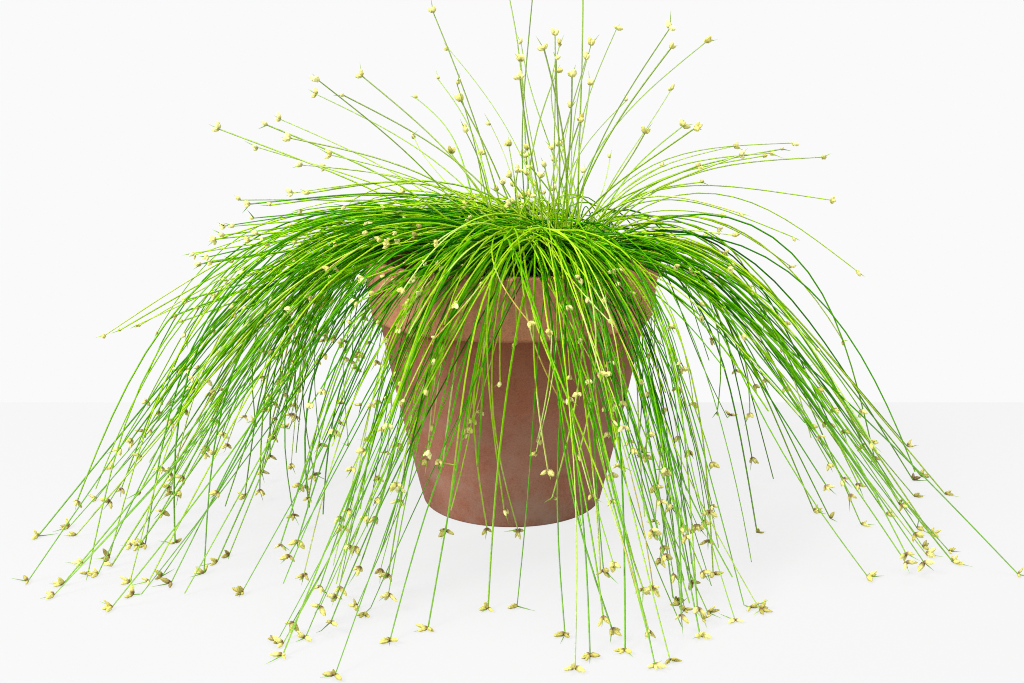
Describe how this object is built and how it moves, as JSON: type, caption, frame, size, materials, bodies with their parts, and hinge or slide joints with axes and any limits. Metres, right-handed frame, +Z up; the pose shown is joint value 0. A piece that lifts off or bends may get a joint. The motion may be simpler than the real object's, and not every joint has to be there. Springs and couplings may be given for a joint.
{
  "type": "potted fiber optic grass",
  "caption": "Tussock of fine arching green stems with small flower heads in a round tapered clay pot, for display on a shelf, table or floor.",
  "frame": {"origin": "centre of the pot's foot, on the surface that the pot stands on, and the centre of the whole part's footprint", "axes": "+Z up along the pot's axis, -Y towards the front, where the stems part over the rim, +X to the viewer's right along the plant's widest spread"},
  "size_m": [0.468, 0.3974, 0.2822],
  "materials": {
    "clay": "matte unglazed fine-grained clay",
    "potting_mix": "loose dark crumbs",
    "stem_bases": "matte papery sheaths",
    "stems": "satin living stems"
  },
  "bodies": {
    "root": {"pot": "clay", "soil": "potting_mix", "crown": "stem_bases", "low_lock_01": "stems", "low_lock_02": "stems", "low_lock_03": "stems", "low_lock_04": "stems", "low_lock_05": "stems", "low_lock_06": "stems", "low_lock_07": "stems", "low_lock_08": "stems", "low_lock_09": "stems", "low_lock_10": "stems", "middle_lock_01": "stems", "middle_lock_02": "stems", "middle_lock_03": "stems", "middle_lock_04": "stems", "middle_lock_05": "stems", "middle_lock_06": "stems", "middle_lock_07": "stems", "middle_lock_08": "stems", "middle_lock_09": "stems", "middle_lock_10": "stems", "middle_lock_11": "stems", "middle_lock_12": "stems", "middle_lock_13": "stems", "middle_lock_14": "stems", "high_lock_01": "stems", "high_lock_02": "stems", "high_lock_03": "stems", "high_lock_04": "stems", "high_lock_05": "stems", "high_lock_06": "stems", "high_lock_07": "stems", "high_lock_08": "stems", "high_lock_09": "stems", "high_lock_10": "stems", "high_lock_11": "stems", "high_lock_12": "stems", "high_lock_13": "stems", "high_lock_14": "stems", "high_lock_15": "stems", "high_lock_16": "stems", "high_lock_17": "stems", "high_lock_18": "stems", "high_lock_19": "stems", "stray_stem_01": "stems", "stray_stem_02": "stems", "stray_stem_03": "stems", "stray_stem_04": "stems", "stray_stem_05": "stems", "stray_stem_06": "stems", "stray_stem_07": "stems", "stray_stem_08": "stems", "stray_stem_09": "stems", "stray_stem_10": "stems", "stray_stem_11": "stems", "stray_stem_12": "stems", "stray_stem_13": "stems"}
  },
  "joints": []
}
